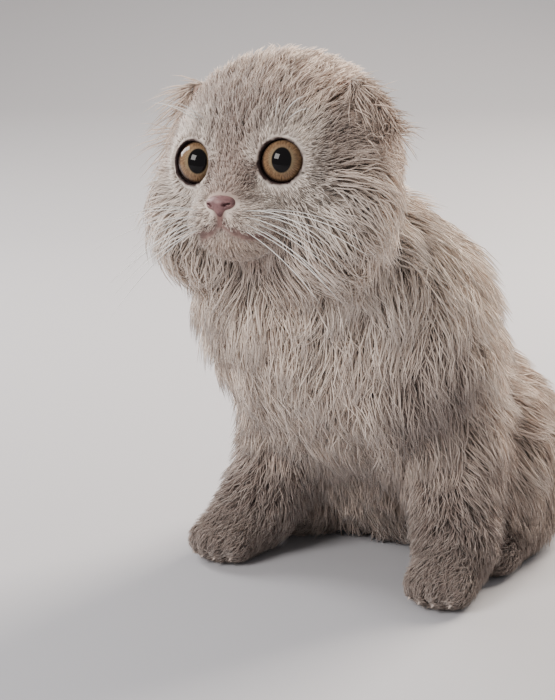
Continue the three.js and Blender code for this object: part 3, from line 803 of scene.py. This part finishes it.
def strands(lines, width, paint, tip_light):
    """Closed tapered strands round lines of points, with a colour for each point"""
    n, steps = lines.shape[:2]
    ahead = np.empty_like(lines)
    ahead[:, 1:-1] = lines[:, 2:] - lines[:, :-2]
    ahead[:, 0] = lines[:, 1] - lines[:, 0]
    ahead[:, -1] = lines[:, -1] - lines[:, -2]
    ahead = unit(ahead)
    start = unit(rng.normal(size=(n, 1, 3)))
    side = unit(np.cross(ahead, start))
    other = np.cross(ahead, side)
    taper = np.linspace(0, 1, steps)
    radius = width[:, None] * 0.5 * np.interp(taper, [0, 0.3, 0.7, 1], [0.8, 1, 0.7, 0.05])
    rings = []
    for k in range(3):
        a = 2 * math.pi * k / 3
        rings.append(lines + (side * math.cos(a) + other * math.sin(a)) * radius[:, :, None])
    points = np.stack(rings, 2)[:, :-1].reshape(n, -1, 3)
    points = np.concatenate([points, lines[:, -1:]], 1)
    each = points.shape[1]
    faces = [(0, 2, 1)]
    for i in range(steps - 2):
        for k in range(3):
            a, b = 3 * i + k, 3 * i + (k + 1) % 3
            faces += [(a, b, b + 3), (a, b + 3, a + 3)]
    a = 3 * (steps - 2)
    faces += [(a, a + 1, each - 1), (a + 1, a + 2, each - 1), (a + 2, a, each - 1)]
    faces = np.array(faces)
    triangles = (faces[None] + each * np.arange(n)[:, None, None]).reshape(-1, 3)
    # Each strand is painted darker towards its root, as painted shade deep in the coat, and paler towards its
    # tip
    shade = np.concatenate([np.repeat(np.interp(taper[:-1], [0, 0.5, 1], [0.6, 0.95, 1]), 3), [1]])
    colour = paint[:, None, :] * (shade[None, :] ** 1.2)[:, :, None]
    along = np.r_[np.repeat(taper[:-1], 3), 1]
    colour = colour + (np.array(PALE) - colour) * (tip_light[:, None] * along**2)[:, :, None]
    return points.reshape(-1, 3), triangles, colour.reshape(-1, 3), each


def unwrap(roots):
    """A place on the unwrap: by angle round a line from tail to crown, and by height on it"""
    x, y, z = roots.T
    head = ease(z + 0.45 * (-y), 150, 168)
    cx, cy = -7.5 * head, np.where(head > 0.5, -67, 15 - 0.35 * z)
    angle = np.arctan2(y - cy, x - cx) / (2 * math.pi) + 0.5
    return np.stack([0.02 + 0.96 * angle, 0.02 + 0.96 * np.clip((z + 0.25 * y + 40) / 240, 0, 1)], 1)


PATCH = 0.003


def coat_piece(name, lines, width, paint, tip_light, roots):
    """Strands as one object, where each strand is a small patch of its unwrap"""
    points, triangles, colour, each = strands(lines, width, paint, tip_light)
    made = mesh_object(name, (points + SHIFT) / 1000, triangles.tolist())
    put_attribute(made.data, "paint", np.c_[colour, np.ones(len(colour))])
    number = np.arange(each)
    local = PATCH * np.stack([(number % 3) / 2, (number // 3) / max(1, (each - 1) // 3)], 1)
    uv = (np.repeat(unwrap(roots), each, 0).reshape(len(roots), each, 2) + local[None]).reshape(-1, 2)
    layer = made.data.uv_layers.new(name="OFBake")
    corner = np.empty(len(made.data.loops), np.int32)
    made.data.loops.foreach_get("vertex_index", corner)
    layer.data.foreach_set("uv", uv[corner].astype(np.float32).ravel())
    made.data.materials.append(hair_look)
    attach(made, "root")
    return made


hair_look = coat_material("hair", 0.62, 700.0, 0)
hair_look.node_tree.nodes["Principled BSDF"].inputs["Sheen Weight"].default_value = 0.25


# No hair is rooted under the ears' flaps
flaps = np.concatenate([ear_sheet(s, 12, 10)[0][22:] for s in (1, -1)])
ear_tree = KDTree(len(flaps))
for k, q in enumerate(flaps):
    ear_tree.insert(q, k)
ear_tree.balance()


def furred(p):
    """True where hair may grow: off the eyes, lids, nose, mouth and soles, and not under the ears"""
    clear = p[:, 2] > 1.0
    for s in (1, -1):
        height, off = from_eye(p, s)
        clear &= ~((off < 8.0) & (height > -8))
        clear &= to_line(p, mouth_lines[0 if s > 0 else 1]) > 1.5
    under_ear = np.array([ear_tree.find(q)[2] for q in p]) < 5.5
    return clear & (nose_field(p) > 0.5) & ~under_ear


DENSE = 1.0


def density(p):
    """Hairs to the square millimetre, most where the fur is short"""
    coat = flesh(p)[1][:, 0]
    return DENSE * (2.3 - 1.55 * ease(coat, 4.5, 9.5))


roots = scatter(skin_points, skin_faces, density, furred)
coat_depth = flesh(roots)[1][:, 0]


def gather(roots, lines, spread, strength):
    """Draw strands to the line of the nearest lock, more towards their tips"""
    leaders = np.nonzero(rng.random(len(roots)) < spread)[0]
    tree = KDTree(len(leaders))
    for k, i in enumerate(leaders):
        tree.insert(roots[i], k)
    tree.balance()
    own = np.array([leaders[tree.find(r)[1]] for r in roots])
    steps = np.linspace(0, 1, lines.shape[1])
    pull = strength * (0.6 + 0.4 * rng.random(len(roots)))
    shared = lines[own] + (roots - roots[own])[:, None] * (1 - 0.75 * steps)[None, :, None]
    return lines + (shared - lines) * (pull[:, None] * steps[None] ** 0.8)[:, :, None], own


MOST_TRIANGLES = 190000


def draw_coat(name, chosen, steps, width, spread, strength):
    """One length of hair, in as many pieces as its triangles need, from the paws up"""
    p = roots[chosen]
    n = len(p)
    wave = np.stack([rng.uniform(0.1, 0.75, n), rng.uniform(0, 6.3, n)], 1)
    lift = np.where(coat_depth[chosen] > 7, rng.beta(3, 1.4, n) * 1.08, rng.uniform(0.4, 0.85, n))
    lines = comb(p, steps, lift, rng.normal(0, 0.16, n), rng.uniform(0.75, 1.2, n), 0.35, wave)
    lines, own = gather(p, lines, spread, strength)
    lines[:, :, 2] = np.maximum(lines[:, :, 2], 0.3)
    tone = markings_and_painted_light(p)
    lock_light = rng.normal(0, 0.07, len(p))[own]
    tone = tone * np.clip(1 + lock_light + rng.normal(0, 0.08, n), 0.6, 1.4)[:, None]
    wide = width * rng.uniform(0.7, 1.25, n)
    tip_light = np.clip(0.25 + rng.normal(0, 0.15, n), 0, 0.7)
    count = 1 + 6 * (len(steps) - 2) + 3
    most = MOST_TRIANGLES // count
    order = np.argsort(p[:, 2])
    for k, part in enumerate(np.array_split(order, -(-n // most))):
        coat_piece(f"{name}_{k + 1}", lines[part], wide[part], tone[part], tip_light[part], p[part])


SHORT_UNDER, LONG_FROM = 6, 9.5
short, long = coat_depth < SHORT_UNDER, coat_depth >= LONG_FROM
draw_coat("short_fur", short, np.array([0, 0.5, 1]), 0.34, 0.1, 0.3)
draw_coat("mid_fur", ~short & ~long, np.array([0, 0.35, 0.7, 1]), 0.45, 0.06, 0.55)
draw_coat("long_coat", long, np.array([0, 0.25, 0.5, 0.75, 1]), 0.57, 0.03, 0.75)

# Ear fur and whiskers
# Short fur over each folded ear with longer wisps among it, most at the edges, long white whiskers on the
# pads and a few above the eyes. All are tapered strands like the coat's, rooted in the flap or in the skin.

EAR_HAIRS = 4400
WHISKER = (0.93, 0.91, 0.88)


def ear_fur(side):
    """Short fur over the flap's outer face, with longer wisps, most at its edges"""
    rows, columns = EAR_ROWS, EAR_COLUMNS
    middle, normal, way = ear_sheet(side, rows, columns)
    n = int(EAR_HAIRS * DENSE)
    r, c = rng.random(n) * rows * 0.999, rng.random(n) * columns * 0.999
    i, j = r.astype(int), c.astype(int)
    u, v = (r - i)[:, None], (c - j)[:, None]

    def blend(facts):
        grid = facts.reshape(rows + 1, columns + 1, 3)
        first = grid[i, j] * (1 - u) + grid[i + 1, j] * u
        second = grid[i, j + 1] * (1 - u) + grid[i + 1, j + 1] * u
        return first * (1 - v) + second * v

    start, out, along = blend(middle), unit(blend(normal)), unit(blend(way))
    edge = np.abs(2 * c / columns - 1)
    wisp = rng.random(n) < 0.06 + 0.25 * (edge > 0.8)
    length = np.where(wisp, rng.uniform(7, 14 if side > 0 else 21, n), rng.uniform(4, 7, n))[:, None]
    outward = head_way(side, 0.25, -0.25)
    stray = 0.35 * rng.normal(size=(n, 3)) * np.where(wisp, 1, 0.45)[:, None]
    heading = unit(along + stray + np.where(wisp, 0.9, 0.1)[:, None] * outward)
    lines = []
    for t in (0, 0.35, 0.7, 1):
        droop = np.array((0, 0, -1.0)) * (0.22 * length * t * t)
        rise = 0.4 + 2.6 * t**0.6 * rng.uniform(0.6, 1, n)[:, None]
        lines.append(start + out * rise + heading * length * t + droop)
    tone = np.array(FAWN) * np.clip(1 + rng.normal(0, 0.09, n), 0.7, 1.3)[:, None]
    tone = tone * (0.8 + 0.25 * ease(r / rows, 0, 0.5))[:, None]
    name = "ear_fur_left" if side > 0 else "ear_fur_right"
    coat_piece(name, np.stack(lines, 1), rng.uniform(0.3, 0.5, n), tone, rng.uniform(0.1, 0.5, n), start)


def whiskers(side):
    """Long white whiskers that sweep out and down from the pad, and a few above the eye"""
    starts, ways, lengths = [], [], []
    for row in range(4):
        for column in range(3):
            starts.append((side * (6.5 + 2.2 * column), -39.5 + 1.6 * column, -12.4 - 1.7 * row))
            ways.append((side * (0.95 + 0.1 * column), -0.26 + 0.22 * column, 0.16 - 0.2 * row))
            lengths.append(rng.uniform(28, 42))
    for k in range(3):
        starts.append((side * (12 + 1.8 * k), -23.5, 15.5))
        ways.append((side * (0.5 + 0.2 * k), -0.55, 0.9))
        lengths.append(rng.uniform(16, 24))
    start = np.array([on_head(*a) for a in starts])
    way = np.array([head_way(*a) for a in ways]) + rng.normal(0, 0.07, (len(ways), 3))
    start = start - slope(start) * (flesh(start)[0] + 0.6)[:, None]
    t = np.linspace(0, 1, 9)[None, :, None]
    length = np.array(lengths)[:, None, None]
    sag = np.array((0, 0, -1.0)) * length * 0.34 * t**2
    lines = start[:, None] + way[:, None] * length * t + sag
    n = len(start)
    white = np.tile(WHISKER, (n, 1))
    name = "whiskers_left" if side > 0 else "whiskers_right"
    coat_piece(name, lines, np.full(n, 0.34), white, np.zeros(n), start)


for s in (1, -1):
    ear_fur(s)
    whiskers(s)

# Claws
# The forepaws' small curved claws, of pale, finely blotched horn. They keep their own solids, which stand
# in the fronts of the toes.

HORN_DARK, HORN_PALE = (0.62, 0.47, 0.40), (0.85, 0.77, 0.70)
horn = plain_material("claw_horn", HORN_PALE, 0.35)
tree = horn.node_tree
shader = tree.nodes["Principled BSDF"]
shader.inputs["Specular IOR Level"].default_value = 0.25
place = add_node(tree, "ShaderNodeTexCoord", "Object")
plug(mix(tree, noise(tree, place, 900.0), HORN_DARK, HORN_PALE), shader.inputs["Base Color"])
roughened(shader, noise(tree, place, 1500.0, 3.0), 0.2, GRAIN_DEPTH)
for side in ("left", "right"):
    for k in range(1, 5):
        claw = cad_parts[f"claw_{side}_{k}"]
        claw.data.materials.clear()
        claw.data.materials.append(horn)

# Camera
# A long lens looks a little down on the kitten from its front left, as in the photo. A chosen point of the
# floor under the chest falls on a chosen pixel of the picture.

CAM_AZ, CAM_EL, CAM_FAR, PIXELS_PER_MM = math.radians(33), math.radians(14), 850, 2.75
PICTURE, CHEST_PIXEL, CHEST_FLOOR, FILM_WIDE = (555, 700), (335, 578), (0, -35, 0), 36
back = np.array([math.sin(CAM_AZ) * math.cos(CAM_EL), -math.cos(CAM_AZ) * math.cos(CAM_EL), math.sin(CAM_EL)])
right = np.array([math.cos(CAM_AZ), math.sin(CAM_AZ), 0])
up = np.cross(back, right)
aim = np.array(CHEST_FLOOR) - right * (CHEST_PIXEL[0] - PICTURE[0] / 2) / PIXELS_PER_MM
aim = aim + up * (CHEST_PIXEL[1] - PICTURE[1] / 2) / PIXELS_PER_MM
camera = bpy.data.objects.new("camera", bpy.data.cameras.new("camera"))
bpy.context.scene.collection.objects.link(camera)
bpy.context.scene.camera = camera
camera.data.lens = PIXELS_PER_MM * CAM_FAR * FILM_WIDE / PICTURE[1]
camera.data.clip_start = 0.01


def set_place(made, x, y, z, at):
    """Stand a camera or lamp at a point, by its own three axes"""
    made.matrix_world = Matrix([[x[i], y[i], z[i], at[i]] for i in range(3)] + [[0, 0, 0, 1]])


set_place(camera, right, up, back, (aim + back * CAM_FAR + SHIFT) / 1000)

# Floor and lights
# A plain pale paper floor that curves up far behind. A soft key lights from the camera's left, a strong warm
# light from behind on the right brightens the edge of the coat, and a fainter one from behind on the left.

sweep = [(-0.75, 0), (0.6, 0), (0.95, 0.03), (1.25, 0.16), (1.45, 0.42), (1.52, 0.8), (1.52, 2.2)]
points, faces = [], []
for far, high_up in sweep:
    middle = -back[:2] / np.linalg.norm(back[:2]) * far
    for side in (-2.2, 2.2):
        points.append((*(middle + right[:2] * side), high_up))
for i in range(len(sweep) - 1):
    faces.append((2 * i, 2 * i + 1, 2 * i + 3, 2 * i + 2))
floor = mesh_object("studio_floor", points, faces)
floor.data.materials.append(plain_material("pale_paper", (0.42, 0.42, 0.45), 0.9))


def lamp(name, at, towards, size, power, colour):
    """A soft rectangular lamp, turned to a point"""
    data = bpy.data.lights.new(name, "AREA")
    data.shape = "RECTANGLE"
    data.size, data.size_y = size
    data.energy = power
    data.color = colour
    made = bpy.data.objects.new(name, data)
    bpy.context.scene.collection.objects.link(made)
    z = unit(np.array(at, float) - np.array(towards, float))
    x = unit(np.cross((0, 0, 1), z))
    set_place(made, x, np.cross(z, x), z, at)


def around_camera(side, away, height):
    """A place to the camera's right, towards it and up, in metres"""
    return right * side + back * (1, 1, 0) * away + (0, 0, height)


lamp("window", around_camera(-0.75, 0.75, 0.75), (0, -0.03, 0.1), (0.5, 0.5), 15, (1, 0.96, 0.91))
lamp("warm_back", around_camera(0.55, -0.55, 0.62), (0, 0, 0.1), (0.4, 0.5), 24, (1, 0.89, 0.76))
lamp("faint_back", around_camera(-0.6, -0.5, 0.5), (0, -0.05, 0.12), (0.35, 0.5), 8, (1, 0.97, 0.94))
world = bpy.data.worlds.new("sky")
world.use_nodes = True
world.node_tree.nodes["Background"].inputs["Color"].default_value = (1, 0.97, 0.95, 1)
world.node_tree.nodes["Background"].inputs["Strength"].default_value = 0.5
bpy.context.scene.world = world
